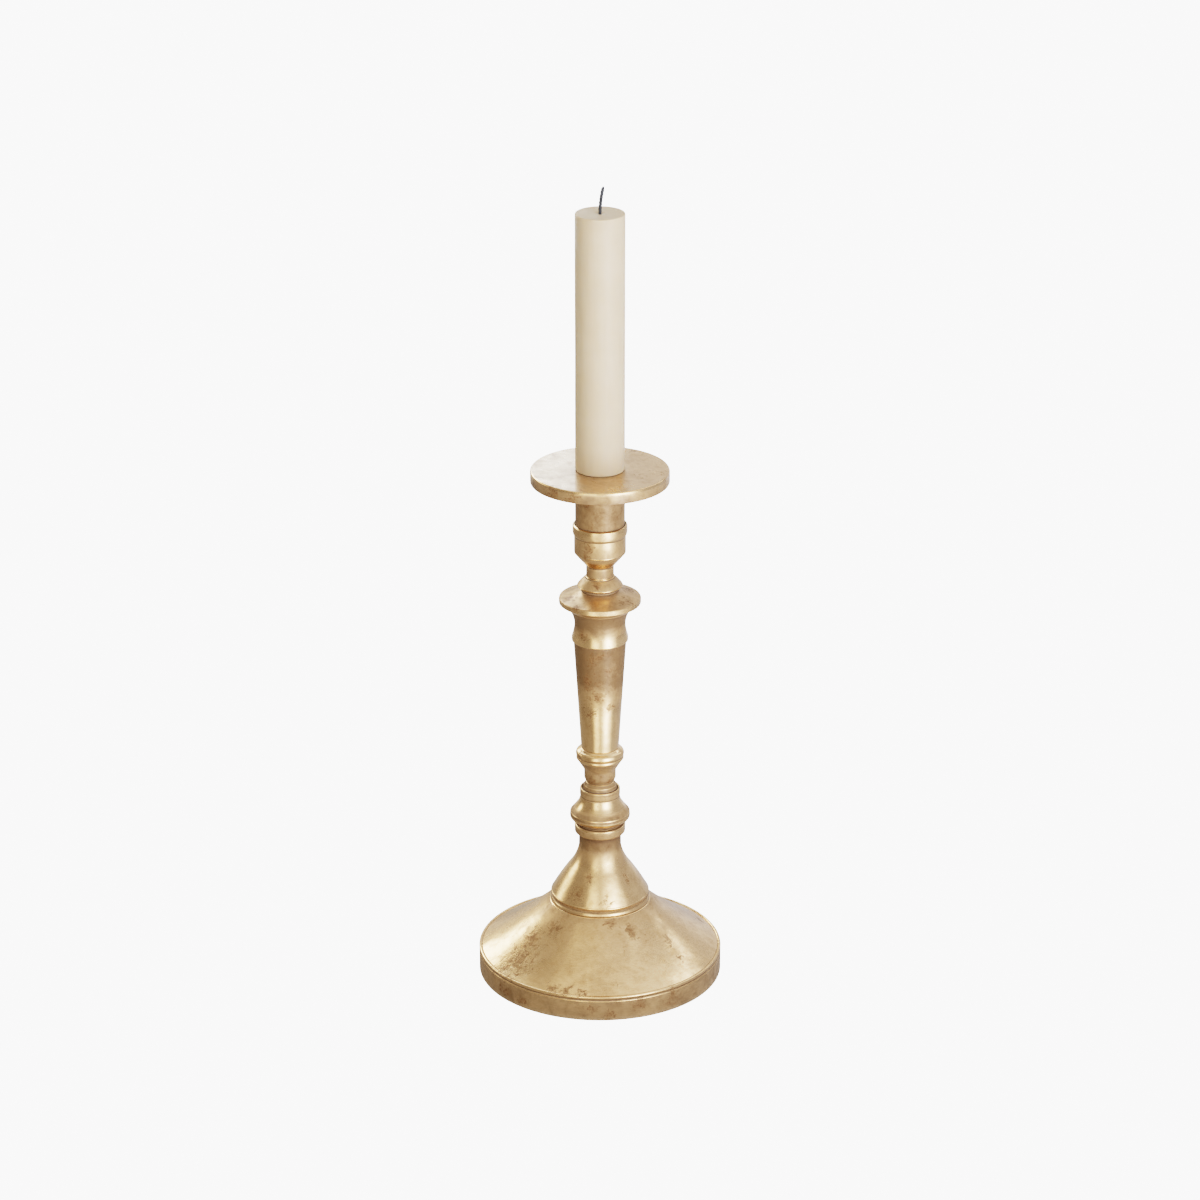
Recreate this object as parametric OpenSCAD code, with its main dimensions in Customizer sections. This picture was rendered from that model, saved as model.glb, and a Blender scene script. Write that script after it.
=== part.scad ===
// Turned brass candlestick: a stack of lathe-turned sections on one tie rod, with a lift-out
// nozzle and drip pan that hold a self-fitting candle. Millimetres, +Z up, and the origin is
// at the centre of the felt that it stands on.

/* [Candle] */
// Diameter of the candle above the drip pan
candle_d = 24.9; // [24.5:0.1:30]
// Height of candle that stands above the drip pan
candle_h = 132.6; // [30:0.1:250]
// Length of the reduced end that fits in the nozzle
candle_tip_h = 22; // [10:1:23]
// Diameter of the wick
wick_d = 1.8; // [1:0.1:2.5]
// Radius of the wick's bend above the wax
wick_bend_r = 58; // [40:1:200]
// Angle of the wick's bend above the wax
wick_bend_angle = 13.7; // [5:0.1:20]

/* [Nozzle and drip pan] */
// Bore that takes the candle's reduced end
nozzle_bore_d = 22; // [21:0.1:22.4]
// Depth of that bore below the drip pan's top
nozzle_bore_h = 24; // [24:0.5:26]
// Outer diameter of the tube that shows below the drip pan
nozzle_d = 25; // [24.8:0.1:25]
// Length of tube that shows between the socket and the drip pan
nozzle_tube_h = 22.6; // [20:0.1:40]
// Diameter of the drip pan
pan_d = 69.9; // [60:0.1:100]
// Thickness of the drip pan at its rim
pan_h = 6.2; // [5.5:0.1:8]

/* [Stem] */
// Height of the socket, from its neck to its collar
socket_h = 28; // [27:0.1:36]
// Diameter of the socket's cup
socket_d = 26.1; // [25.7:0.1:27]
// Diameter of the neck under the socket
neck_d = 14; // [13:0.1:16]
// Height of the flare under the neck
flare_h = 6.4; // [6:0.1:9]
// Diameter of the flare's lip
flare_d = 23.2; // [22.6:0.1:26]
// Height of the saucer-shaped disc
saucer_h = 11; // [11:0.1:14]
// Diameter of the saucer-shaped disc
saucer_d = 41.6; // [38:0.1:50]
// Height of the capital on top of the column
capital_h = 17.5; // [16:0.1:24]
// Diameter of the capital's bead
capital_d = 28.8; // [28:0.1:30]
// Height of the tapered column
column_h = 59.5; // [40:0.1:120]
// Diameter of the column at its top
column_top_d = 26.8; // [22:0.1:27]
// Diameter of the column at its foot
column_low_d = 19.3; // [17:0.1:19.5]
// Height of the column's foot, with its bead and neck
foot_h = 19.1; // [19:0.1:28]
// Diameter of the bead on the column's foot
foot_d = 24.8; // [24:0.1:27]
// Height of the lower knop
knop_h = 23.5; // [23:0.1:27]
// Diameter of the lower knop at its widest
knop_d = 31; // [30:0.1:36]
// Height of the ring under the lower knop
ring_h = 5.6; // [5:0.1:8]
// Diameter of the ring under the lower knop
ring_d = 26.3; // [26:0.1:30]

/* [Bell and base] */
// Height of the bell
bell_h = 37.2; // [36:0.1:50]
// Diameter of the bell at its foot
bell_d = 51.6; // [48:0.1:52]
// Diameter of the bell's neck
bell_neck_d = 21.6; // [21:0.1:22]
// Height of the base, up to the bell
base_h = 40.1; // [36:0.1:46]
// Diameter of the base
base_d = 126.2; // [115:0.1:150]
// Height of the base's upright rim
rim_h = 11.4; // [9:0.1:12]
// Thickness of the felt, which stands a little below the rim
felt_h = 1.5; // [1.2:0.1:2]

/* [Hidden] */
$fn = 96;
arc_steps = 10;

brass = [0.78, 0.64, 0.42];
steel = [0.62, 0.63, 0.65];
wax = [0.88, 0.83, 0.73];
char_grey = [0.18, 0.18, 0.19];
felt_green = [0.13, 0.17, 0.14];

// Fits
running_gap = 0.08;
thread_gap = 0.02;
locating_gap = 0.1;

// Rod and its fastenings
rod_r = 3;
rod_hole_r = 3.2;
rod_grip = 10;
rod_tail = 1.8;
washer_r = 9;
washer_h = 1.6;
spring_r = 5;
spring_split = 8;
nut_across_flats = 10;
nut_h = 5;

// Locating spigot under each section and the recess that it enters
spigot_r = 5;
spigot_h = 1.8;
recess_h = 2;

// Undercut between the flare and the saucer, and groove between the foot and the lower knop
undercut_r = 9.4;
groove_r = 7.1;

// Edges
edge = 0.5;
roll = 0.35;

// Wick inside the candle
wick_core_r = wick_d / 2 - 0.05;
wick_bottom = 3 - candle_tip_h;
dimple_h = 0.5;

// Socket and nozzle
collar_h = 6;
collar_r = socket_d / 2 + 0.8;
seat_depth = 3;
plug_h = 10;
plug_r = 11.42;
plug_bore_r = 8;
nozzle_lip_r = 12;
cup_floor_h = 14;

// Base
base_wall = 4;
deck_h = 5;
plate_h = 1.5;
plate_r = base_d / 2 - 4.2;
rim_lift = 0.4;
boss_r = 20;
boss_h = 1.5;

// Heights of the joints between the sections, from the table up
bell_z = base_h;
ring_z = bell_z + bell_h;
knop_z = ring_z + ring_h;
foot_z = knop_z + knop_h;
column_z = foot_z + foot_h;
capital_z = column_z + column_h;
saucer_z = capital_z + capital_h;
flare_z = saucer_z + saucer_h;
socket_z = flare_z + flare_h;
seat_z = socket_z + socket_h - seat_depth;
pan_z = socket_z + socket_h + nozzle_tube_h;
candle_z = pan_z + pan_h;
washer_z = base_h - deck_h - washer_h;
spring_z = washer_z - washer_h;
nut_z = spring_z - nut_h;

// Points of an arc from p towards q, which is left out. It swells by bulge to the right of the
// way, or hollows when bulge is negative.
function arc(p, q, bulge, n = arc_steps) =
    let (way = q - p,
         chord = norm(way),
         radius = (chord * chord / 4 + bulge * bulge) / (2 * bulge),
         right = [way.y, -way.x] / chord,
         centre = (p + q) / 2 + right * (bulge - radius),
         turn = 2 * asin(chord / 2 / radius))
    [for (i = [0:n - 1])
        let (a = turn * i / n, v = p - centre)
        centre + [v.x * cos(a) - v.y * sin(a), v.x * sin(a) + v.y * cos(a)]];

// A stacked section: its outside runs from the bottom joint to the top one, around the rod
// hole, with a spigot below and a recess above that keep the sections in line.
module section(z, h, outside) {
    translate([0, 0, z])
        rotate_extrude()
            polygon(concat(
                [[rod_hole_r, -spigot_h], [spigot_r, -spigot_h], [spigot_r, 0]],
                outside,
                [[spigot_r + locating_gap, h], [spigot_r + locating_gap, h - recess_h],
                 [rod_hole_r, h - recess_h]]));
}

module turned(z, outline) {
    translate([0, 0, z])
        rotate_extrude()
            polygon(outline);
}

// The wick is pressed a little thinner inside the wax, and bends from the dimple upwards.
module wick() {
    top = candle_h - dimple_h;
    color(char_grey) translate([0, 0, candle_z]) {
        translate([0, 0, wick_bottom])
            cylinder(r = wick_core_r, h = top - wick_bottom);
        translate([wick_bend_r, 0, top])
            rotate([90, 0, 0])
                rotate([0, 0, 180 - wick_bend_angle])
                    rotate_extrude(angle = wick_bend_angle)
                        translate([wick_bend_r, 0])
                            circle(r = wick_d / 2);
    }
}

module candle() {
    r = candle_d / 2;
    tip_r = nozzle_bore_d / 2 - running_gap;
    low_round = 0.8;
    dimple_r = 3.2;
    color(wax)
        turned(candle_z, concat(
            [[0, -candle_tip_h], [tip_r - edge, -candle_tip_h], [tip_r, edge - candle_tip_h],
             [tip_r, 0]],
            arc([r - low_round, 0], [r, low_round], 0.2),
            arc([r, candle_h - edge], [r - edge, candle_h], 0.12),
            arc([dimple_r, candle_h], [wick_d / 2 + 0.3, candle_h - dimple_h], 0.12),
            [[wick_d / 2 + 0.3, candle_h - dimple_h], [wick_core_r, candle_h - dimple_h],
             [wick_core_r, wick_bottom], [0, wick_bottom]]));
}

// The drip pan is a disc that fits over the nozzle's lip, hollowed underneath to a thin web.
module drip_pan() {
    r = pan_d / 2;
    web_z = pan_h - 2.9;
    color(brass)
        turned(pan_z, concat(
            [[nozzle_lip_r, 0], [nozzle_lip_r + 2.5, 0], [nozzle_lip_r + 5, web_z],
             [r - 4.5, web_z]],
            arc([r - 2.2, roll], [r - 1.5, 0], 0.1),
            arc([r - roll, 0], [r, roll], 0.1),
            arc([r, pan_h - 0.9], [r - 0.9, pan_h], 0.25),
            [[r - 0.9, pan_h], [nozzle_lip_r, pan_h]]));
}

// The nozzle's shoulder sits in the socket's collar and its plug hangs in the cup.
module nozzle() {
    tube_r = nozzle_d / 2;
    top = pan_z + pan_h - seat_z;
    bore_r = nozzle_bore_d / 2;
    floor_z = top - nozzle_bore_h;
    color(brass)
        turned(seat_z, [
            [plug_bore_r, -plug_h], [plug_r - edge, -plug_h], [plug_r, edge - plug_h],
            [plug_r, 0], [tube_r, 0], [tube_r, pan_z - seat_z], [nozzle_lip_r, pan_z - seat_z],
            [nozzle_lip_r, top], [bore_r, top], [bore_r, floor_z], [0, floor_z],
            [0, floor_z - 3], [plug_bore_r, floor_z - 3]]);
}

// The socket's cup takes the nozzle's plug, and the tie rod screws into its neck from below.
module socket() {
    cup_r = socket_d / 2;
    bore_r = plug_r + running_gap;
    seat_r = nozzle_d / 2 + running_gap;
    neck_h = 5.7;
    slope_h = 7.2;
    collar_low = socket_h - collar_h;
    color(brass)
        turned(socket_z, concat(
            [[rod_r + thread_gap, -spigot_h], [spigot_r, -spigot_h], [spigot_r, 0],
             [neck_d / 2, 0], [neck_d / 2, neck_h], [cup_r, neck_h + slope_h],
             [cup_r, collar_low], [collar_r - 0.25, collar_low + 0.9],
             [collar_r, collar_low + 2.2]],
            arc([collar_r, socket_h - 1.2], [collar_r - 0.8, socket_h], 0.25),
            [[collar_r - 0.8, socket_h], [seat_r + 0.35, socket_h], [seat_r, socket_h - 1.6],
             [seat_r, socket_h - seat_depth], [bore_r, socket_h - seat_depth],
             [bore_r, cup_floor_h], [0, cup_floor_h], [0, rod_grip],
             [rod_r + thread_gap, rod_grip]]));
}

module neck_flare() {
    r = flare_d / 2;
    color(brass)
        section(flare_z, flare_h, concat(
            [[undercut_r, 0], [r - 0.9, 0.6], [r - 0.2, 1]],
            arc([r, 1.4], [neck_d / 2 + 0.5, flare_h - 0.6], 0.2),
            [[neck_d / 2 + 0.5, flare_h - 0.6], [neck_d / 2 + 0.4, flare_h]]));
}

// The saucer is a thin disc whose top rises as a slightly hollow cone to the undercut beneath
// the flare.
module saucer() {
    r = saucer_d / 2;
    rim_low = 3;
    rim_top = 5.95;
    cone_top = saucer_h - 1.3;
    color(brass)
        section(saucer_z, saucer_h, concat(
            [[15.9, 0]],
            arc([r - edge, rim_low], [r, rim_low + roll], 0.1),
            arc([r, rim_top - 0.8], [r - 0.8, rim_top], 0.22),
            arc([r - 0.8, rim_top], [undercut_r, cone_top], -0.35),
            [[undercut_r, cone_top], [undercut_r, saucer_h]]));
}

// The capital: a plain fillet, a hollow slope above it and a cavetto that opens under the saucer.
module capital() {
    r = capital_d / 2;
    waist_r = 13.05;
    fillet_h = 2;
    waist_z = 7.6;
    color(brass)
        section(capital_z, capital_h, concat(
            [[column_top_d / 2, 0], [r - 0.15, 0.1], [r, 0.4]],
            arc([r, fillet_h], [waist_r, waist_z], -0.15),
            arc([waist_r, waist_z], [15.9, capital_h], -0.95),
            [[15.9, capital_h]]));
}

module column() {
    color(brass)
        section(column_z, column_h, [[column_low_d / 2, 0], [column_top_d / 2, column_h]]);
}

// The column's foot: a narrow groove on the knop, a straight neck, an opening cone, and a bead
// above a small fillet and quirk.
module column_foot() {
    r = foot_d / 2;
    neck_r = 8.15;
    neck_low = 2.4;
    neck_top = 7.2;
    fillet_z = 13.2;
    bead_z = 14.9;
    color(brass)
        section(foot_z, foot_h, concat(
            [[groove_r, 0], [groove_r, 0.2], [neck_r - 0.5, neck_low / 2], [neck_r, neck_low],
             [neck_r, neck_top - 1]],
            arc([neck_r + 0.15, neck_top], [r - 0.6, fillet_z - 0.4], -0.05),
            [[r - 0.6, fillet_z - 0.4], [r - 0.2, fillet_z], [r - 0.2, fillet_z + 0.9],
             [r - 0.6, bead_z - 0.3]],
            arc([r - 0.3, bead_z], [column_low_d / 2 + 1.2, foot_h - 1], 0.85),
            [[column_low_d / 2 + 1.2, foot_h - 1], [column_low_d / 2, foot_h]]));
}

// The lower knop: an ogee bulb, a plain band whose lip stands round a dish, and a small ridge
// up to the groove.
module lower_knop() {
    r = knop_d / 2;
    band_r = 10.35;
    ridge_z = knop_h - 1.4;
    lip_z = ridge_z - 2.1;
    color(brass)
        section(knop_z, knop_h, concat(
            [[11.8, 0], [11.8, 0.9]],
            arc([13.4, 2.5], [r, 4.9], 0.7),
            [[r, 4.9]],
            arc([r - 0.1, 6.6], [11.8, 11.2], -0.1),
            arc([11.8, 11.2], [band_r - 0.2, 15.7], -0.3),
            [[band_r - 0.2, 15.7], [band_r, 16.2], [band_r, lip_z - 0.5], [band_r - 0.25, lip_z],
             [band_r - 0.7, lip_z], [9.2, lip_z - 0.6], [8.8, lip_z - 0.4],
             [8.4, ridge_z - 0.4], [8.1, ridge_z], [groove_r, knop_h]]));
}

module knop_ring() {
    r = ring_d / 2;
    color(brass)
        section(ring_z, ring_h, concat(
            arc([bell_neck_d / 2, 0], [r, 1.5], 0.4),
            arc([r, ring_h - 0.7], [r - 0.65, ring_h], 0.12),
            [[r - 0.65, ring_h]]));
}

// The bell flares down to a lip, a hollow and a foot bead. It is hollow below and drops over
// the boss on the base's deck.
module bell() {
    r = bell_d / 2;
    neck_r = bell_neck_d / 2;
    mouth_r = boss_r + locating_gap;
    bead_h = 2.3;
    lip_z = 4.9;
    swell_z = 18.6;
    swell_r = 16.4;
    neck_z = 30.4;
    color(brass)
        turned(bell_z, concat(
            [[mouth_r, 0]],
            arc([r - edge, 0], [r, edge], 0.12),
            arc([r, edge], [r - 0.9, bead_h], 0.25),
            arc([r - 0.9, bead_h], [r - 0.4, lip_z - 0.8], -0.15),
            arc([r - 0.4, lip_z - 0.8], [r - 0.7, lip_z], 0.15),
            arc([r - 0.7, lip_z], [swell_r, swell_z], 0.25),
            arc([swell_r, swell_z], [neck_r + 0.1, neck_z], -0.85),
            [[neck_r + 0.1, neck_z], [neck_r, bell_h],
             [spigot_r + locating_gap, bell_h], [spigot_r + locating_gap, bell_h - recess_h],
             [rod_hole_r, bell_h - recess_h], [rod_hole_r, 24], [7.5, 24],
             [swell_r - base_wall, 17.5], [mouth_r, 5]]));
}

// The base is a hollow cone with an upright rim, a flat deck on top and a rebate underneath.
module base() {
    r = base_d / 2;
    cavity_r = plate_r - 2;
    cone_r = r - 1.55;
    cone_z = rim_h + 2.1;
    land_r = 25.9;
    deck_z = base_h - deck_h;
    plate_z = felt_h + plate_h;
    color(brass)
        turned(0, concat(
            [[plate_r + locating_gap, rim_lift]],
            arc([r - roll, rim_lift], [r, rim_lift + roll], 0.1),
            [[r, rim_h - 0.3], [r - 0.2, rim_h], [r - 0.5, rim_h + 0.5]],
            arc([r - 0.1, rim_h + 1.1], [cone_r, cone_z], 0.85),
            arc([cone_r, cone_z], [land_r, base_h], -1.4, 2 * arc_steps),
            [[land_r, base_h], [boss_r, base_h], [boss_r, base_h + boss_h],
             [rod_hole_r, base_h + boss_h], [rod_hole_r, deck_z]],
            arc([land_r - 3, deck_z], [cavity_r, rim_h - 0.4], 1.2, arc_steps),
            [[cavity_r, rim_h - 0.4], [cavity_r, plate_z], [plate_r + locating_gap, plate_z]]));
}

// The threads are left out: the rod is a plain cylinder that fits the socket and the nut.
module tie_rod() {
    bottom = nut_z - rod_tail;
    color(steel)
        translate([0, 0, bottom])
            cylinder(r = rod_r, h = socket_z + rod_grip - bottom);
}

module rod_washer() {
    color(steel)
        translate([0, 0, washer_z])
            difference() {
                cylinder(r = washer_r, h = washer_h);
                translate([0, 0, -1])
                    cylinder(r = rod_hole_r, h = washer_h + 2);
            }
}

module spring_washer() {
    color(steel)
        translate([0, 0, spring_z])
            rotate([0, 0, spring_split / 2])
                rotate_extrude(angle = 360 - spring_split)
                    translate([rod_r + locating_gap, 0])
                        square([spring_r - rod_r - locating_gap, washer_h]);
}

module rod_nut() {
    corner_r = nut_across_flats / 2 / cos(30);
    chamfer = 0.4;
    face_r = corner_r - 2 * chamfer;
    color(steel)
        translate([0, 0, nut_z])
            intersection() {
                difference() {
                    cylinder(r = corner_r, h = nut_h, $fn = 6);
                    translate([0, 0, -1])
                        cylinder(r = rod_r + thread_gap, h = nut_h + 2);
                }
                rotate_extrude()
                    polygon([[0, 0], [face_r, 0], [corner_r + 0.1, chamfer],
                             [corner_r + 0.1, nut_h - chamfer], [face_r, nut_h], [0, nut_h]]);
            }
}

module base_plate() {
    color(steel)
        translate([0, 0, felt_h])
            cylinder(r = plate_r, h = plate_h);
}

module felt_pad() {
    color(felt_green)
        turned(0, concat(
            [[0, 0]],
            arc([plate_r - 0.6, 0], [plate_r - 0.2, 0.4], 0.08),
            [[plate_r - 0.2, 0.4], [plate_r - 0.2, felt_h], [0, felt_h]]));
}

wick();
candle();
drip_pan();
nozzle();
socket();
neck_flare();
saucer();
capital();
column();
column_foot();
lower_knop();
knop_ring();
bell();
base();
tie_rod();
rod_washer();
spring_washer();
rod_nut();
base_plate();
felt_pad();
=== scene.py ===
"""A turned brass candlestick with its candle: the looks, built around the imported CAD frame."""
import math

import bmesh
import bpy
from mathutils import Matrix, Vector, noise


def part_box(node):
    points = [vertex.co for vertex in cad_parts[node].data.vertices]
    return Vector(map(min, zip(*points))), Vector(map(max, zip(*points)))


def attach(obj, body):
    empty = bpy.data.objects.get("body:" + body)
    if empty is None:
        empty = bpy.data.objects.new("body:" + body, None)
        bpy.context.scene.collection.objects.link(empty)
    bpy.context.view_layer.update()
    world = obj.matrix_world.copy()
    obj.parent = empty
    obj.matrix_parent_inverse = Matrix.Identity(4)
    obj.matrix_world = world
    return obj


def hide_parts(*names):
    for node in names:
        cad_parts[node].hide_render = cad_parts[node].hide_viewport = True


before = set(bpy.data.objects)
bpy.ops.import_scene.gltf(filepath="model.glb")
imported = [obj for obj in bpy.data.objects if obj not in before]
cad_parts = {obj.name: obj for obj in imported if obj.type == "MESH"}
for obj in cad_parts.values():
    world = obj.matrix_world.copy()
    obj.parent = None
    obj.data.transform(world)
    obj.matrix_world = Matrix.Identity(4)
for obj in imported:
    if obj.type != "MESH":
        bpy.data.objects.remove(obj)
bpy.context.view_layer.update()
MM = 0.001

# Camera: the height on the stick's axis that it aims at, how far off it stands, how steeply it
# looks down, and its lens and sensor in millimetres
AIM_HEIGHT = 206.36 * MM
CAMERA_DISTANCE = 2021.8 * MM
CAMERA_PITCH = math.radians(21.933)
LENS = 120
SENSOR = 36

# Lathe work: the sides of a ring, how close two rings of a CAD mesh and two points of an outline
# are when they count as one, and the longest step along an outline
SEGMENTS = 224
RING_TOLERANCE = 0.004 * MM
POINT_TOLERANCE = 0.01 * MM
RING_SPACING = 1.4 * MM

# Corners of an outline: the turns that count as sharp and as fully worn, the fillet on a sharp
# one, how many fillets from the corner its wear ends, and the steps of a fillet and of a soft
# corner
SHARP_TURN = math.radians(24)
WORN_TURN = math.radians(50)
FILLET = 0.3 * MM
WEAR_REACH = 1.7
FILLET_STEPS = 5
SOFT_STEPS = 2

# How far the surface of each material wanders inwards, and over what lengths
BRASS_WANDER = 0.03 * MM
BRASS_WANDER_SIZE = 18 * MM
CANDLE_WANDER = 0.12 * MM
CANDLE_WANDER_SIZE = 30 * MM
FELT_WANDER = 0.1 * MM
FELT_WANDER_SIZE = 3 * MM

# The nick in the candle's top edge
NICK_TURN = math.radians(-118)
NICK_WIDTH = 1.3 * MM
NICK_DEPTH = 0.35 * MM

# Wick: the depth of the dimple that it stands in, the room left over its tip, and its twisted
# strands, whose thickness is in radii of the wick
DIMPLE = 0.5 * MM
TIP_ROOM = 0.12 * MM
STRANDS = 3
STRAND_SIDES = 10
STRAND_STEPS = 420
STRAND_THICKNESS = 0.56
TWIST_PITCH = 5.2 * MM
TIP_LENGTH = 1.6 * MM

# Film: its speed, the highest radiance that it tells apart, and the radiances at which its curve
# is drawn
FILM_SPEED = 0.44
FILM_TOP = 8.0
FILM_STEPS = (0.06, 0.12, 0.2, 0.32, 0.5, 0.75, 1.1, 1.6, 2.3, 3.3, 4.5, 6.0)

# Stage: the radiance of the pale backdrop, the width of the floor, and the height over it from
# which its reflections of the studio are reckoned
BACKDROP = 5.8
FLOOR_SIZE = 12.0
STUDIO_CENTRE = 150 * MM

# Soft windows of light round the studio, as (left, right, low, high, edge, lean, radiance). The
# first five are in degrees, where 0 is towards the camera, and right is positive. lean is how
# many degrees the window moves to the left for each degree up. A dark card has a radiance below 0.
WINDOWS = [
    (10, 60, -36, 38, 16, 0, 3.5),
    (24, 44, -30, 32, 10, 0, 7.0),
    (-32, -4, -36, 38, 10, 0, 3.0),
    (-139, -117, 14, 36, 4, 0.75, 9.0),
    (-122, -102, 6, 24, 7, 0, 4.5),
    (-122, -84, 44, 68, 7, 0, -0.6),
    (125, 133, 22, 60, 3, 0, 3.5),
]

# The card whose gloss lies on the drip pan: its left, right, low and high edges and how far
# behind it stands, in radii of the pan from the middle of its top, and its radiance and colour
PAN_CARD = (-9.0, -0.15, 1.2, 5.8)
PAN_CARD_BACK = 6.3
PAN_CARD_RADIANCE = 4.7
PAN_CARD_COLOUR = (0.62, 0.8, 1.0)

# Brass: the bright metal and the tarnished one, the shades that mottling and turning marks multiply
# them by, and the colours of painted crevice shade, of grime with painted shade, of stains and of
# pits
POLISHED = (0.92, 0.62, 0.35, 1)
TARNISHED = (0.25, 0.152, 0.075, 1)
MOTTLE_SHADE = (0.84, 0.79, 0.72, 1)
LINE_SHADE = (0.92, 0.90, 0.86, 1)
# Colour of the painted shade in crevices
CREVICE_SHADE_BROWN = (0.58, 0.47, 0.34, 1)
# Colour of grime and of the painted shade in corners, grooves and joints
GRIME_AND_SHADE_BROWN = (0.15, 0.085, 0.04, 1)
STAIN_BROWN = (0.26, 0.14, 0.06, 1)
PIT_BROWN = (0.17, 0.08, 0.03, 1)

# Tarnish of each turned piece, from 0, rubbed bright, to 1, brown and lustreless, and on to 2, a
# black painted shade at the joints between the pieces, as (share of the piece's height, tarnish)
# pairs, from the bottom up. Hands and cloths reach the swells, and not the necks.
TARNISH = {
    "base": ((0, 0.8), (0.27, 0.75), (0.32, 0.05), (0.4, 0.15), (0.8, 0.35), (0.96, 0.65),
             (1, 1.2)),
    "bell": ((0, 0.25), (0.045, 0.3), (0.055, 0.8), (0.08, 0.8), (0.12, 0.1), (0.55, 0.1),
             (0.72, 0.5), (0.82, 0.9), (0.93, 1.1), (0.96, 1.5), (1, 1.9)),
    "knop_ring": ((0, 0.9), (0.75, 0.7), (0.9, 0.2), (1, 0.3)),
    "lower_knop": ((0, 1.2), (0.05, 0.8), (0.17, 0.65), (0.22, 0.1), (0.25, 0.3), (0.28, 0.9),
                   (0.4, 0.8), (0.48, 0.1), (0.65, 0.1), (0.69, 0.7), (0.8, 0.6), (0.84, 0.9),
                   (1, 0.8)),
    "column_foot": ((0, 1.2), (0.1, 0.8), (0.34, 0.8), (0.45, 0.7), (0.66, 0.9), (0.72, 0.4),
                    (0.85, 0.0), (1, 0.1)),
    "column": ((0, 0.0), (0.35, 0.05), (0.5, 0.5), (0.65, 1), (1, 1.2)),
    "capital": ((0, 0.3), (0.03, 0.1), (0.12, 0.0), (0.3, 0.15), (0.45, 0.7), (0.65, 1.1),
                (1, 1.3)),
    "saucer": ((0, 0.6), (0.5, 0.4), (0.65, 0.6), (0.9, 0.5), (1, 1.8)),
    "neck_flare": ((0, 1.6), (0.12, 0.9), (0.2, 0.2), (0.4, 0.5), (1, 0.6)),
    "socket": ((0, 0.8), (0.22, 0.8), (0.26, 0.2), (0.36, 0.2), (0.42, 0.8), (0.6, 0.75),
               (0.8, 0.5), (0.88, 0.5), (1, 0.15)),
    "nozzle": ((0, 0.9), (1, 0.9)),
    "drip_pan": ((0, 0.9), (0.7, 0.7), (0.85, 0.15), (0.97, 0.2), (1, 0.42)),
}

# How many times its reach a stain runs before it has thinned out
STAIN_SPREAD = 1.6

# Brown stains and speckled patches, as (turn round the axis, radius, height, reach), with the
# turn in degrees from +X, where -90 is the front, and the rest in millimetres
STAINS = [
    (-143, 52.7, 18.8, 14), (-147, 42, 26, 9), (-135, 33, 33, 6), (-78, 27.8, 38.3, 4),
    (-62, 32, 34, 6), (-34, 42, 26, 4), (-37, 51.5, 19.6, 3), (-113, 59.6, 14.6, 5),
    (-107, 59.8, 14.4, 5), (-99, 60, 14.3, 4), (70, 50, 20, 9), (120, 44, 24, 6), (20, 56, 17, 5),
    (-141, 63, 6.3, 6), (-130, 63, 4.7, 4), (-94, 63, 6.7, 4), (-85, 63, 2.6, 5),
    (-71, 63, 8, 5), (-54, 63, 7.5, 6), (15, 63, 5, 6), (95, 63, 4, 7), (170, 63, 8, 5),
    (-83, 23, 48.8, 4), (-123, 22.5, 49.8, 5), (-43, 18.8, 55.4, 3), (-108, 17, 58, 4),
    (60, 20, 53, 6), (-122, 11, 147, 5), (-107, 12.9, 177.8, 5), (-72, 12.6, 172, 4),
    (-96, 13, 181, 6), (80, 12, 160, 8), (-147, 11.9, 123, 5), (-129, 13.1, 191, 4),
    # The two at radius 8.1 darken the foot's neck on its left and on its front right
    (-116, 13, 238, 4), (-124, 13, 234.7, 4), (-128, 8.1, 108.5, 4), (-50, 8.1, 109, 3),
    (-132, 34.9, 274.4, 5), (-110, 34.9, 272.8, 6), (55, 34.9, 273, 6),
    (-160, 15, 209, 5), (-125, 18, 208, 4), (-32, 17, 208.3, 5), (20, 15, 209, 5),
    (-125, 12.5, 262, 4), (-95, 12.5, 268, 3), (-112, 12.5, 250, 3), (-100, 9.5, 217, 3),
    (-115, 12.3, 166, 6), (-98, 12.1, 158, 5), (-60, 11.6, 151, 3),
]


# ---------------------------------------------------------------- outlines and lathe meshes

def ring_of(rings, point):
    """Index of the ring at this (radius, height), which is added if it is new."""
    for index, known in enumerate(rings):
        if (known - point).length < RING_TOLERANCE:
            return index
    rings.append(point)
    return len(rings) - 1


def traced_outline(node):
    """The (radius, height) outline of a turned CAD node, with its solid on the left of the way.

    A solid that reaches the axis gives an open outline whose two ends lie on the axis."""
    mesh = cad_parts[node].data
    rings = []
    at = [ring_of(rings, Vector((math.hypot(v.co.x, v.co.y), v.co.z))) for v in mesh.vertices]
    neighbours = {index: set() for index in range(len(rings))}
    for edge in mesh.edges:
        a, b = (at[v] for v in edge.vertices)
        if a != b:
            neighbours[a].add(b)
            neighbours[b].add(a)
    ends = [index for index, near in neighbours.items() if len(near) == 1]
    way = [ends[0] if ends else 0]
    while True:
        ahead = [index for index in sorted(neighbours[way[-1]]) if index not in way]
        if not ahead:
            break
        way.append(ahead[0])
    points = [rings[index] for index in way]
    if ends:
        points = [Vector((0, points[0].y)), *points, Vector((0, points[-1].y))]
    area = sum(p.cross(q) for p, q in zip(points, points[1:] + points[:1]))
    return points if area > 0 else points[::-1]


def wear_end(corner, way, reach):
    """Where the wear of a sharp corner ends on the side of it that way points to."""
    return corner + way.normalized() * min(way.length * 0.5, reach * WEAR_REACH)


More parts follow.
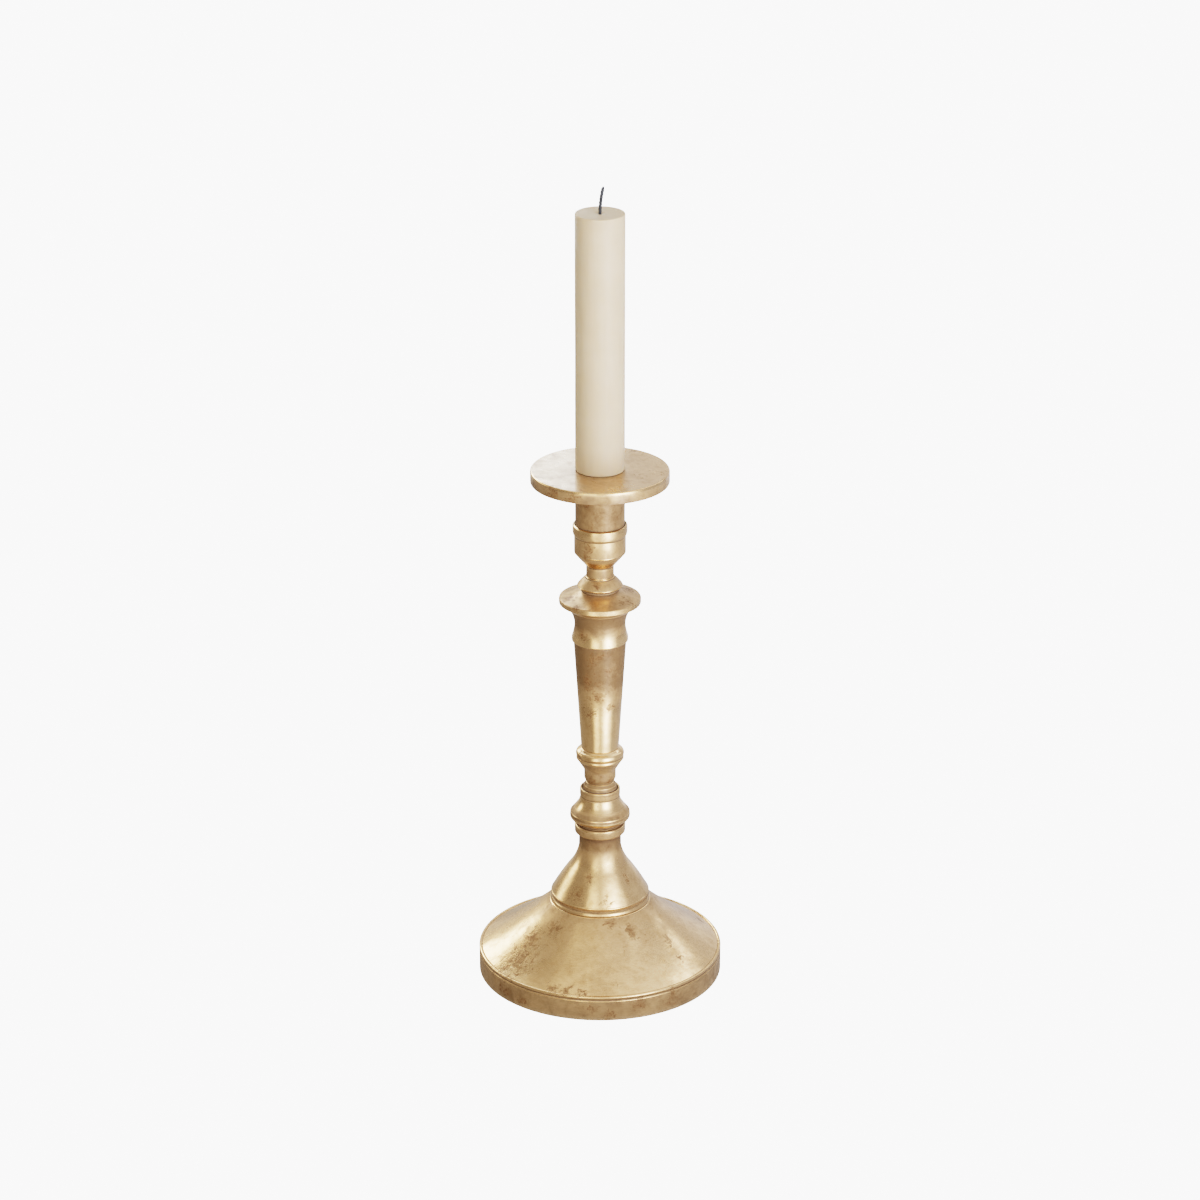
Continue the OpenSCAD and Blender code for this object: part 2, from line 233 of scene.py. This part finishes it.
def softened(points):
    """The outline with its corners rounded: a small fillet on sharp corners, and full curves
    along the chords of an arc. Gives (point, wear) pairs, where wear is up to 1 on an arris, which
    is rubbed, down to -1 in an inside corner, which gets grime and painted shade, and 0 elsewhere."""
    closed = points[0].x > RING_TOLERANCE
    out = []
    for index, here in enumerate(points):
        if not closed and index in (0, len(points) - 1):
            out.append((here, 0.0))
            continue
        before = points[index - 1] - here
        after = points[(index + 1) % len(points)] - here
        turn = math.pi - before.angle(after)
        sharp = turn > SHARP_TURN
        reach = min(before.length, after.length) * 0.5
        wear = 0.0
        steps = SOFT_STEPS
        if sharp:
            reach = min(reach * 0.8, FILLET)
            wear = math.copysign(min(1.0, turn / WORN_TURN), after.cross(before))
            steps = FILLET_STEPS
            out.append((wear_end(here, before, reach), 0.0))
        start = here + before.normalized() * reach
        end = here + after.normalized() * reach
        for step in range(steps + 1):
            t = step / steps
            out.append((start * (1 - t) ** 2 + here * 2 * t * (1 - t) + end * t * t, wear))
        if sharp:
            out.append((wear_end(here, after, reach), 0.0))
    clean = [out[0]]
    for point, wear in out[1:]:
        if (point - clean[-1][0]).length > POINT_TOLERANCE:
            clean.append((point, wear))
    if closed and (clean[0][0] - clean[-1][0]).length < POINT_TOLERANCE:
        clean.pop()
    return filled_in(clean)


def filled_in(outline):
    """The outline with points added on its long straight runs."""
    closed = outline[0][0].x > RING_TOLERANCE
    out = []
    for index, (here, wear) in enumerate(outline):
        out.append((here, wear))
        if index == len(outline) - 1 and not closed:
            break
        there, other = outline[(index + 1) % len(outline)]
        parts = math.ceil((there - here).length / RING_SPACING)
        for part in range(1, parts):
            share = part / parts
            out.append((here.lerp(there, share), wear + (other - wear) * share))
    return out


def unevenness(place, seed, size):
    """A gentle wander from 0 to 1 over lengths of about size, for hand-finished surfaces."""
    return 0.5 + 0.5 * noise.noise(place / size + Vector((seed, seed, seed)))


def lathe(name, outline, wander, wander_size, seed):
    """A closed mesh turned from an outline. Its surface is moved inwards by up to wander, which
    comes and goes over lengths of about wander_size."""
    closed = outline[0][0].x > RING_TOLERANCE
    bm = bmesh.new()
    worn = bm.verts.layers.float.new("wear")
    rings = []
    for point, wear in outline:
        if point.x < RING_TOLERANCE:
            rings.append([bm.verts.new((0, 0, point.y))])
            continue
        ring = []
        for step in range(SEGMENTS):
            angle = 2 * math.pi * step / SEGMENTS
            place = Vector((math.cos(angle) * point.x, math.sin(angle) * point.x, point.y))
            shrink = 1 - wander * unevenness(place, seed, wander_size) / point.x
            ring.append(bm.verts.new((place.x * shrink, place.y * shrink, place.z)))
            ring[-1][worn] = wear
        rings.append(ring)
    pairs = list(zip(rings, rings[1:]))
    if closed:
        pairs.append((rings[-1], rings[0]))
    for low, high in pairs:
        for step in range(SEGMENTS):
            after = (step + 1) % SEGMENTS
            if len(low) == 1:
                bm.faces.new((low[0], high[after], high[step]))
            elif len(high) == 1:
                bm.faces.new((low[step], low[after], high[0]))
            else:
                bm.faces.new((low[step], low[after], high[after], high[step]))
    bmesh.ops.recalc_face_normals(bm, faces=bm.faces)
    return finished(name, bm)


def level_at(share, stops):
    """The value at a share, on straight lines between (share, value) stops."""
    for (a, low), (b, high) in zip(stops, stops[1:]):
        if share <= b:
            return low + (high - low) * max(0.0, share - a) / (b - a)
    return stops[-1][1]


def mark_tarnish(piece, node):
    """Stores each vertex's tarnish, whose values over 1 paint shade at the joints, and stain on the
    mesh, for the brass to read. A stain is 1 at its centre and falls evenly to 0."""
    low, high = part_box(node)
    spots = []
    for turn, radius, height, size in STAINS:
        if low.z < height * MM < high.z:
            angle = math.radians(turn)
            spots.append((Vector((math.cos(angle) * radius, math.sin(angle) * radius, height)) * MM,
                          size * MM))
    tarnish = piece.data.attributes.new("tarnish", "FLOAT", "POINT")
    stain = piece.data.attributes.new("stain", "FLOAT", "POINT")
    for index, vertex in enumerate(piece.data.vertices):
        share = (vertex.co.z - low.z) / (high.z - low.z)
        tarnish.data[index].value = level_at(share, TARNISH[node])
        for centre, size in spots:
            away = (vertex.co - centre).length / (STAIN_SPREAD * size)
            stain.data[index].value = max(stain.data[index].value, 1 - away)


def finished(name, bm):
    """The object of a bmesh, smooth shaded and in the scene."""
    mesh = bpy.data.meshes.new(name)
    bm.to_mesh(mesh)
    bm.free()
    for face in mesh.polygons:
        face.use_smooth = True
    piece = bpy.data.objects.new(name, mesh)
    bpy.context.scene.collection.objects.link(piece)
    return piece


# ---------------------------------------------------------------- materials

def fresh_tree(name):
    """An empty node tree of a new material, with its output node."""
    material = bpy.data.materials.new(name)
    material.use_nodes = True
    tree = material.node_tree
    tree.nodes.clear()
    return material, tree, tree.nodes.new("ShaderNodeOutputMaterial")


def add(tree, kind, sockets=None, **settings):
    """Adds a node, sets its properties, and fills its sockets with values or links."""
    made = tree.nodes.new(kind)
    for name, value in settings.items():
        setattr(made, name, value)
    for name, value in (sockets or {}).items():
        if isinstance(value, bpy.types.NodeSocket):
            tree.links.new(value, made.inputs[name])
        else:
            made.inputs[name].default_value = value
    return made


def calc(tree, operation, a, b=0.0, clamp=False):
    """The result of a Math node on two numbers or sockets."""
    return add(tree, "ShaderNodeMath", {0: a, 1: b}, operation=operation,
               use_clamp=clamp).outputs[0]


def plus(tree, a, b):
    """a + b, for numbers or sockets."""
    return calc(tree, "ADD", a, b)


def minus(tree, a, b):
    """a - b, for numbers or sockets."""
    return calc(tree, "SUBTRACT", a, b)


def times(tree, a, b):
    """a * b, for numbers or sockets."""
    return calc(tree, "MULTIPLY", a, b)


def larger(tree, a, b):
    """The larger of a and b, for numbers or sockets."""
    return calc(tree, "MAXIMUM", a, b)


def ramp(tree, value, low, high, out_low=0.0, out_high=1.0):
    """Smooth step of value from out_low at low to out_high at high."""
    return add(tree, "ShaderNodeMapRange",
               {"Value": value, "From Min": low, "From Max": high, "To Min": out_low,
                "To Max": out_high}, interpolation_type="SMOOTHSTEP").outputs["Result"]


def blend(tree, factor, a, b, how="MIX"):
    """Mix of two colours: a at factor 0, and b, or a times b, at factor 1."""
    return add(tree, "ShaderNodeMix", {0: factor, 6: a, 7: b}, data_type="RGBA",
               blend_type=how).outputs[2]


def clouds(tree, vector, size, detail=3.0, rough=0.55, warp=0.0):
    """Noise from 0 to 1 whose blobs are about size across."""
    return add(tree, "ShaderNodeTexNoise",
               {"Vector": vector, "Scale": 1 / size, "Detail": detail, "Roughness": rough,
                "Distortion": warp}).outputs["Fac"]


def lathe_coordinates(tree, place, along):
    """Coordinates in which a pattern is drawn out round the axis: radius and height stay, and
    the angle counts for along metres a turn."""
    parts = add(tree, "ShaderNodeSeparateXYZ", {"Vector": place}).outputs
    angle = calc(tree, "ARCTAN2", parts["Y"], parts["X"])
    flat = add(tree, "ShaderNodeCombineXYZ", {"X": parts["X"], "Y": parts["Y"]}).outputs[0]
    radius = add(tree, "ShaderNodeVectorMath", {0: flat}, operation="LENGTH").outputs["Value"]
    return add(tree, "ShaderNodeCombineXYZ",
               {"X": radius, "Y": parts["Z"],
                "Z": times(tree, angle, along / (2 * math.pi))}).outputs[0]


def tarnish_of(tree, tarnish_and_shade_level, wear, wide, mottle):
    """Tarnish from 0 to 1: the piece's own, uneven in wide and small clouds, and rubbed off the
    arrises."""
    spread = times(tree, minus(tree, wide, 0.5), 0.85)
    spread = plus(tree, spread, times(tree, minus(tree, mottle, 0.5), 0.35))
    spread = minus(tree, spread, times(tree, ramp(tree, wear, 0.0, 1.0), 0.8))
    return calc(tree, "ADD", tarnish_and_shade_level, spread, clamp=True)


def grime_and_shade_of(tree, tarnish_and_shade_level, wear, mottle, openness):
    """Grime and painted shade from 0 to 1: grime with painted shade in inside corners, painted
    shade in narrow grooves, and a painted shade line at the joints, where the piece's own tarnish
    goes well over 1."""
    # Inside corners get grime with painted shade; low occlusion and levels over 1 give painted
    # shade
    corner = ramp(tree, plus(tree, wear, times(tree, mottle, 0.4)), 0.1, -0.5)
    groove_shade = ramp(tree, openness, 0.52, 0.26)
    junction_shade = ramp(tree, plus(tree, tarnish_and_shade_level, times(tree, mottle, 0.6)), 1.35, 2.1)
    return larger(tree, larger(tree, corner, groove_shade), junction_shade)


def stains_of(tree, place, stain):
    """Ragged brown blots where the stain says, and the specks of pits, which are in the blots
    and in scattered clusters. Both are from 0 to 1."""
    cluster = ramp(tree, clouds(tree, place, 15 * MM, 3, 0.6), 0.60, 0.74)
    blotches = clouds(tree, place, 3.5 * MM, 5, 0.7, 0.8)
    blot = plus(tree, stain, times(tree, minus(tree, blotches, 0.5), 3.0))
    blot = times(tree, ramp(tree, blot, 0.45, 1.0), ramp(tree, stain, 0.0, 0.25))
    pits = clouds(tree, place, 1.2 * MM, 2, 0.6)
    specks = larger(tree, times(tree, cluster, ramp(tree, pits, 0.54, 0.64)),
                    times(tree, blot, ramp(tree, pits, 0.46, 0.58)))
    return blot, specks


def brass_normal(tree, place, lines, mottle, specks):
    """Gentle waves from hand finishing, with turning marks, mottling and pits on them."""
    waves = add(tree, "ShaderNodeBump", {"Height": clouds(tree, place, 11 * MM, 2, 0.45),
                                         "Strength": 1.0, "Distance": 0.28 * MM})
    height = plus(tree, times(tree, lines, 0.35), times(tree, mottle, 0.35))
    height = minus(tree, height, times(tree, specks, 1.6))
    return add(tree, "ShaderNodeBump",
               {"Height": height, "Strength": 0.25, "Distance": 0.05 * MM,
                "Normal": waves.outputs[0]}).outputs[0]


def brass_material(name, coat):
    """Antiqued brass: rubbed bright or tarnished by place, with brown stains, pit clusters, painted
    shade in the crevices, grime with painted shade in corners, grooves and joints, turning marks, a
    hand-finished waviness and a coat of lacquer."""
    material, tree, output = fresh_tree(name)
    place = add(tree, "ShaderNodeTexCoord").outputs["Object"]
    tarnish_and_shade_level, stain, wear = (add(tree, "ShaderNodeAttribute", attribute_name=layer).outputs["Fac"]
                         for layer in ("tarnish", "stain", "wear"))
    wide = clouds(tree, place, 18 * MM, 4, 0.6, 0.8)
    mottle = clouds(tree, place, 5 * MM, 4, 0.65, 0.4)
    lines = clouds(tree, lathe_coordinates(tree, place, 60 * MM), 0.5 * MM, 2, 0.5)
    # Occlusion within 5 mm: where it is low, shade is painted into the colour
    openness = add(tree, "ShaderNodeAmbientOcclusion", {"Distance": 5 * MM},
                   samples=8).outputs["AO"]
    # Painted crevice shade: pulls the metal towards a pale brown where occlusion is deep
    crevice_shade = ramp(tree, openness, 0.85, 0.45)
    tarnish = tarnish_of(tree, tarnish_and_shade_level, wear, wide, mottle)
    grime_and_shade = grime_and_shade_of(tree, tarnish_and_shade_level, wear, mottle, openness)
    blot, specks = stains_of(tree, place, stain)

    colour = blend(tree, tarnish, POLISHED, TARNISHED)
    colour = blend(tree, ramp(tree, mottle, 0.45, 0.85), colour, MOTTLE_SHADE, "MULTIPLY")
    colour = blend(tree, ramp(tree, lines, 0.3, 0.7), colour, LINE_SHADE, "MULTIPLY")
    # Painted crevice shade and grime with painted shade, then real stains and pits, over the colour
    for layer, share, brown in ((crevice_shade, 0.4, CREVICE_SHADE_BROWN), (grime_and_shade, 0.85, GRIME_AND_SHADE_BROWN),
                                (blot, 0.7, STAIN_BROWN), (specks, 0.55, PIT_BROWN)):
        colour = blend(tree, times(tree, layer, share), colour, brown)

    roughness = plus(tree, ramp(tree, tarnish, 0.0, 1.0, 0.19, 0.58),
                     ramp(tree, mottle, 0.3, 0.75, -0.02, 0.04))
    for layer, share in ((specks, 0.3), (grime_and_shade, 0.25), (crevice_shade, 0.12)):
        roughness = plus(tree, roughness, times(tree, layer, share))

    # Stains, grime and painted shade take away the metal's shine
    stains_grime_and_shade = larger(tree, times(tree, blot, 0.35), times(tree, grime_and_shade, 0.7))
    metallic = times(tree, ramp(tree, tarnish, 0.2, 0.95, 1.0, 0.35), minus(tree, 1.0, stains_grime_and_shade))
    shader = add(tree, "ShaderNodeBsdfPrincipled",
                 {"Base Color": colour, "Roughness": roughness, "Metallic": metallic,
                  "Specular IOR Level": 0.35, "Coat Weight": coat, "Coat Roughness": 0.15,
                  "Coat IOR": 1.5, "Normal": brass_normal(tree, place, lines, mottle, specks)})
    tree.links.new(shader.outputs[0], output.inputs["Surface"])
    return material


def wax_material():
    """Ivory wax: light sinks in a little, with faint drawn streaks and rubbed patches."""
    material, tree, output = fresh_tree("ivory_wax")
    place = add(tree, "ShaderNodeTexCoord").outputs["Object"]
    drawn = add(tree, "ShaderNodeMapping", {"Vector": place, "Scale": (1, 1, 0.06)}).outputs[0]
    streaks = clouds(tree, drawn, 2.2 * MM, 3, 0.6)
    patches = clouds(tree, place, 20 * MM, 3, 0.55)
    grain = clouds(tree, place, 0.6 * MM, 3, 0.7)
    colour = blend(tree, ramp(tree, patches, 0.3, 0.7), (0.60, 0.475, 0.33, 1),
                   (0.56, 0.435, 0.295, 1))
    colour = blend(tree, ramp(tree, streaks, 0.45, 0.75, 0, 0.35), colour,
                   (0.52, 0.395, 0.26, 1))
    roughness = ramp(tree, patches, 0.3, 0.7, 0.42, 0.55)
    height = plus(tree, streaks, times(tree, grain, 0.3))
    bump = add(tree, "ShaderNodeBump", {"Height": height, "Strength": 0.2, "Distance": 0.1 * MM})
    shader = add(tree, "ShaderNodeBsdfPrincipled",
                 {"Base Color": colour, "Roughness": roughness, "IOR": 1.44,
                  "Subsurface Weight": 0.6, "Subsurface Radius": (1.0, 0.75, 0.5),
                  "Subsurface Scale": 3.0 * MM, "Normal": bump.outputs[0]})
    tree.links.new(shader.outputs[0], output.inputs["Surface"])
    return material


def wick_material():
    """Charred cotton: black-grey with paler fibres."""
    material, tree, output = fresh_tree("charred_wick")
    place = add(tree, "ShaderNodeTexCoord").outputs["Object"]
    fibres = clouds(tree, place, 0.25 * MM, 3, 0.7)
    char = clouds(tree, place, 2.5 * MM, 2, 0.5)
    colour = blend(tree, ramp(tree, fibres, 0.4, 0.75), (0.035, 0.036, 0.04, 1),
                   (0.16, 0.16, 0.165, 1))
    colour = blend(tree, ramp(tree, char, 0.4, 0.7, 0, 0.6), colour, (0.02, 0.02, 0.022, 1))
    bump = add(tree, "ShaderNodeBump", {"Height": fibres, "Strength": 0.6, "Distance": 0.08 * MM})
    shader = add(tree, "ShaderNodeBsdfPrincipled",
                 {"Base Color": colour, "Roughness": 0.8, "Sheen Weight": 0.4,
                  "Normal": bump.outputs[0]})
    tree.links.new(shader.outputs[0], output.inputs["Surface"])
    return material


def felt_material():
    """Dark green pressed felt with a soft nap."""
    material, tree, output = fresh_tree("green_felt")
    place = add(tree, "ShaderNodeTexCoord").outputs["Object"]
    fibres = clouds(tree, place, 0.7 * MM, 5, 0.8, 1.2)
    worn = clouds(tree, place, 22 * MM, 3, 0.5)
    colour = blend(tree, ramp(tree, fibres, 0.35, 0.7), (0.016, 0.045, 0.026, 1),
                   (0.055, 0.115, 0.07, 1))
    colour = blend(tree, ramp(tree, worn, 0.5, 0.75, 0, 0.35), colour, (0.10, 0.13, 0.09, 1))
    bump = add(tree, "ShaderNodeBump", {"Height": fibres, "Strength": 0.8, "Distance": 0.3 * MM})
    shader = add(tree, "ShaderNodeBsdfPrincipled",
                 {"Base Color": colour, "Roughness": 0.95, "Sheen Weight": 0.5,
                  "Normal": bump.outputs[0]})
    tree.links.new(shader.outputs[0], output.inputs["Surface"])
    return material


def steel_material():
    """Zinc-plated steel: pale spangle, fine scratches, a little white bloom."""
    material, tree, output = fresh_tree("zinc_plated_steel")
    place = add(tree, "ShaderNodeTexCoord").outputs["Object"]
    spangle = add(tree, "ShaderNodeTexVoronoi", {"Vector": place, "Scale": 1 / (2.5 * MM)})
    scratches = clouds(tree, lathe_coordinates(tree, place, 30 * MM), 0.4 * MM, 2, 0.5)
    bloom = ramp(tree, clouds(tree, place, 12 * MM, 4, 0.6), 0.5, 0.75)
    colour = blend(tree, ramp(tree, spangle.outputs["Distance"], 0.2, 0.8),
                   (0.56, 0.57, 0.59, 1), (0.46, 0.47, 0.50, 1))
    colour = blend(tree, times(tree, bloom, 0.4), colour, (0.66, 0.65, 0.62, 1))
    roughness = plus(tree, ramp(tree, scratches, 0.3, 0.7, 0.28, 0.42), times(tree, bloom, 0.2))
    bump = add(tree, "ShaderNodeBump", {"Height": scratches, "Strength": 0.2,
                                        "Distance": 0.05 * MM})
    shader = add(tree, "ShaderNodeBsdfPrincipled",
                 {"Base Color": colour, "Roughness": roughness, "Metallic": 1.0,
                  "Normal": bump.outputs[0]})
    tree.links.new(shader.outputs[0], output.inputs["Surface"])
    return material


BRASS = brass_material("antiqued_brass", coat=0.18)
PAN_BRASS = brass_material("lacquered_brass", coat=0.5)
WAX = wax_material()
WICK = wick_material()
FELT = felt_material()
STEEL = steel_material()


# ---------------------------------------------------------------- pieces

def settle(piece, node, body, material):
    """Gives a piece its material and lets it stand for its CAD node on that body."""
    piece.data.materials.append(material)
    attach(piece, body)
    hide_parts(node)
    return piece


def turned_brass(node, body, seed, material=BRASS):
    """A brass piece turned again from its CAD node's outline. Its seed makes it uneven in a way
    of its own."""
    outline = softened(traced_outline(node))
    piece = lathe("turned_" + node, outline, BRASS_WANDER, BRASS_WANDER_SIZE, seed)
    mark_tarnish(piece, node)
    return settle(piece, node, body, material)


def candle_piece():
    """The wax: slightly uneven sides and a small nick in its top edge."""
    outline = softened(traced_outline("candle"))
    piece = lathe("wax_candle", outline, CANDLE_WANDER, CANDLE_WANDER_SIZE, seed=5.5)
    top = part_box("candle")[1]
    nick = Vector((math.cos(NICK_TURN) * top.x, math.sin(NICK_TURN) * top.x, top.z))
    for vertex in piece.data.vertices:
        away = (vertex.co - nick).length / NICK_WIDTH
        if away < 3:
            vertex.co.z -= NICK_DEPTH * math.exp(-away * away)
    return settle(piece, "candle", "candle_and_wick", WAX)


def wick_line(share, low, floor, rise, turn):
    """A point of the wick's centre line and its direction: straight in the wax, bent above."""
    straight = floor - low
    radius = rise / math.sin(turn)
    way = share * (straight + radius * turn)
    if way < straight:
        return Vector((0, 0, low + way)), Vector((0, 0, 1))
    angle = (way - straight) / radius
    place = Vector((radius * (1 - math.cos(angle)), 0, floor + radius * math.sin(angle)))
    return place, Vector((math.sin(angle), 0, math.cos(angle)))


def strand_rings(bm, strand, low, floor, rise, turn, radius):
    """The rings of one strand of the wick. In the wax the strands are pressed closer together,
    and they thin out at the tip."""
    length = rise + floor - low
    side = Vector((0, 1, 0))
    rings = []
    for step in range(STRAND_STEPS + 1):
        share = step / STRAND_STEPS
        place, ahead = wick_line(share, low, floor, rise, turn)
        across = side.cross(ahead)
        above = max(0.0, min(1.0, (place.z - floor) / MM))
        tip = max(0.0, (share * length - (length - TIP_LENGTH)) / TIP_LENGTH)
        spread = (0.36 + 0.06 * above) * radius * (1 - 0.5 * tip)
        thick = STRAND_THICKNESS * radius * (0.9 + 0.1 * above) * (1 - 0.55 * tip * tip)
        twist = 2 * math.pi * (share * length / TWIST_PITCH + strand / STRANDS)
        core = place + (side * math.sin(twist) + across * math.cos(twist)) * spread
        ring = []
        for corner in range(STRAND_SIDES):
            angle = 2 * math.pi * corner / STRAND_SIDES
            out = side * math.sin(angle) + across * math.cos(angle)
            ring.append(bm.verts.new(core + out * thick))
        rings.append(ring)
    return rings


def wick_piece():
    """Three twisted cotton strands, which thin out at the charred tip."""
    low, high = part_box("wick")
    radius = -low.x
    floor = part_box("candle")[1].z - DIMPLE
    rise = high.z - TIP_ROOM - floor
    lean = high.x - radius
    turn = 2 * math.atan2(lean, rise)
    bm = bmesh.new()
    for strand in range(STRANDS):
        rings = strand_rings(bm, strand, low.z, floor, rise, turn, radius)
        for before, after in zip(rings, rings[1:]):
            for k in range(STRAND_SIDES):
                n = (k + 1) % STRAND_SIDES
                bm.faces.new((before[k], before[n], after[n], after[k]))
        bm.faces.new(rings[0][::-1])
        bm.faces.new(rings[-1])
    bmesh.ops.recalc_face_normals(bm, faces=bm.faces)
    return settle(finished("twisted_wick", bm), "wick", "candle_and_wick", WICK)


def felt_piece():
    """The felt disc under the base, which is slightly uneven all over."""
    outline = softened(traced_outline("felt_pad"))
    piece = lathe("felt_disc", outline, FELT_WANDER, FELT_WANDER_SIZE, seed=9.0)
    return settle(piece, "felt_pad", "stand", FELT)


STAND_SECTIONS = ["base", "bell", "knop_ring", "lower_knop", "column_foot", "column", "capital",
                  "saucer", "neck_flare", "socket"]
for order, section in enumerate(STAND_SECTIONS):
    turned_brass(section, "stand", seed=1.7 * order)
turned_brass("nozzle", "nozzle_and_pan", seed=21.3)
turned_brass("drip_pan", "nozzle_and_pan", seed=24.1, material=PAN_BRASS)
candle_piece()
wick_piece()
felt_piece()

# The steel pieces keep their CAD shapes
for steel_node in ("tie_rod", "rod_washer", "spring_washer", "rod_nut", "base_plate"):
    steel_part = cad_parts[steel_node]
    steel_part.data.materials.clear()
    steel_part.data.materials.append(STEEL)


# ---------------------------------------------------------------- stage, light and camera

def soft_window(tree, azimuth, elevation, left, right, low, high, edge, lean):
    """1 inside a window of the surroundings and 0 outside, over soft edges. All in degrees but
    lean, which is how far the window moves to the left for each degree up."""
    if lean:
        azimuth = plus(tree, azimuth, times(tree, elevation, lean))
    across = times(tree, ramp(tree, azimuth, left - edge, left + edge),
                   ramp(tree, azimuth, right - edge, right + edge, 1, 0))
    up = times(tree, ramp(tree, elevation, low - edge, low + edge),
               ramp(tree, elevation, high - edge, high + edge, 1, 0))
    return times(tree, across, up)


def surroundings(tree, way):
    """Light of the studio in a direction, as the sockets of an emitter: dim and warm on the
    left, cool on the right, pale behind and above, and with the soft windows."""
    parts = add(tree, "ShaderNodeSeparateXYZ", {"Vector": way}).outputs
    forward = times(tree, parts["Y"], -1)
    degrees = 180 / math.pi
    azimuth = times(tree, calc(tree, "ARCTAN2", parts["X"], forward), degrees)
    elevation = times(tree, calc(tree, "ARCSINE", parts["Z"]), degrees)
    tint = blend(tree, ramp(tree, parts["X"], -0.5, 0.6), (1, 0.97, 0.90, 1), (0.96, 1, 1.10, 1))
    level = ramp(tree, parts["X"], -0.75, 0.35, 0.64, 1.0)
    level = plus(tree, level, ramp(tree, parts["Y"], 0.6, 1.0, 0.0, 0.6))
    level = plus(tree, level, ramp(tree, parts["Z"], 0.55, 0.85, 0.0, 0.72))
    for left, right, low, high, edge, lean, strength in WINDOWS:
        window = soft_window(tree, azimuth, elevation, left, right, low, high, edge, lean)
        level = plus(tree, level, times(tree, window, strength))
    return {"Color": tint, "Strength": level}


def floor_plane():
    """A plain pale floor. The camera sees it evenly pale, the brass sees the studio in it, and
    it lets the view through from below."""
    bm = bmesh.new()
    half = FLOOR_SIZE / 2
    bm.faces.new([bm.verts.new((x * half, y * half, 0))
                  for x, y in ((-1, -1), (1, -1), (1, 1), (-1, 1))])
    plane = finished("floor", bm)
    material, tree, output = fresh_tree("pale_floor")
    path = add(tree, "ShaderNodeLightPath").outputs
    seen = add(tree, "ShaderNodeEmission", {"Color": (1, 1, 1, 1), "Strength": BACKDROP})
    geometry = add(tree, "ShaderNodeNewGeometry").outputs
    away = add(tree, "ShaderNodeVectorMath",
               {0: geometry["Position"], 1: (0, 0, STUDIO_CENTRE)},
               operation="SUBTRACT").outputs[0]
    way = add(tree, "ShaderNodeVectorMath", {0: away}, operation="NORMALIZE").outputs[0]
    card = add(tree, "ShaderNodeEmission", surroundings(tree, way))
    front = add(tree, "ShaderNodeMixShader",
                {0: path["Is Camera Ray"], 1: card.outputs[0], 2: seen.outputs[0]})
    through = add(tree, "ShaderNodeBsdfTransparent")
    both = add(tree, "ShaderNodeMixShader",
               {0: geometry["Backfacing"], 1: front.outputs[0], 2: through.outputs[0]})
    tree.links.new(both.outputs[0], output.inputs["Surface"])
    plane.data.materials.append(material)


def studio_world():
    """The studio all round, which the camera sees as the pale backdrop."""
    world = bpy.data.worlds.new("studio")
    bpy.context.scene.world = world
    world.use_nodes = True
    tree = world.node_tree
    tree.nodes.clear()
    output = tree.nodes.new("ShaderNodeOutputWorld")
    way = add(tree, "ShaderNodeTexCoord").outputs["Generated"]
    light = add(tree, "ShaderNodeBackground", surroundings(tree, way))
    seen = add(tree, "ShaderNodeBackground", {"Color": (1, 1, 1, 1), "Strength": BACKDROP})
    path = add(tree, "ShaderNodeLightPath").outputs
    both = add(tree, "ShaderNodeMixShader",
               {0: path["Is Camera Ray"], 1: light.outputs[0], 2: seen.outputs[0]})
    tree.links.new(both.outputs[0], output.inputs["Surface"])


def pan_light():
    """A cool card behind the candle's left, for the gloss on the pan's top. The camera and matt
    surfaces don't see it."""
    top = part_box("drip_pan")[1]
    radius = top.x
    left, right, low, high = (edge * radius for edge in PAN_CARD)
    data = bpy.data.lights.new("pan_light", "AREA")
    data.shape = "RECTANGLE"
    data.size = right - left
    data.size_y = high - low
    data.energy = PAN_CARD_RADIANCE * math.pi * data.size * data.size_y
    data.color = PAN_CARD_COLOUR
    lamp = bpy.data.objects.new("pan_light", data)
    lamp.location = ((left + right) / 2, PAN_CARD_BACK * radius, top.z + (low + high) / 2)
    lamp.rotation_euler = (math.radians(-90), 0, 0)
    lamp.visible_camera = False
    lamp.visible_diffuse = False
    bpy.context.scene.collection.objects.link(lamp)


def camera():
    """The long lens that looks at the stick from in front and above."""
    data = bpy.data.cameras.new("camera")
    data.lens = LENS
    data.sensor_width = SENSOR
    data.clip_start = 0.05
    data.clip_end = 50
    lens = bpy.data.objects.new("camera", data)
    back = Vector((0, -math.cos(CAMERA_PITCH), math.sin(CAMERA_PITCH)))
    lens.location = Vector((0, 0, AIM_HEIGHT)) + back * CAMERA_DISTANCE
    lens.rotation_mode = "QUATERNION"
    lens.rotation_quaternion = (-back).to_track_quat("-Z", "Y")
    bpy.context.scene.collection.objects.link(lens)
    bpy.context.scene.camera = lens


def film_print(radiance):
    """The filmic print curve: a soft toe, a steep middle and a long shoulder."""
    x = radiance * FILM_SPEED
    return x * (2.51 * x + 0.03) / (x * (2.43 * x + 0.59) + 0.14)


def film():
    """Prints the picture like film, so that shadows stay rich and highlights pale to white."""
    view = bpy.context.scene.view_settings
    view.view_transform = "Standard"
    view.use_curve_mapping = True
    mapping = view.curve_mapping
    mapping.white_level = (FILM_TOP, FILM_TOP, FILM_TOP)
    # Curve 3 holds for all three colours
    curve = mapping.curves[3]
    curve.points[1].location = (1, film_print(FILM_TOP))
    for radiance in FILM_STEPS:
        curve.points.new(radiance / FILM_TOP, film_print(radiance))
    mapping.update()


floor_plane()
studio_world()
pan_light()
camera()
film()
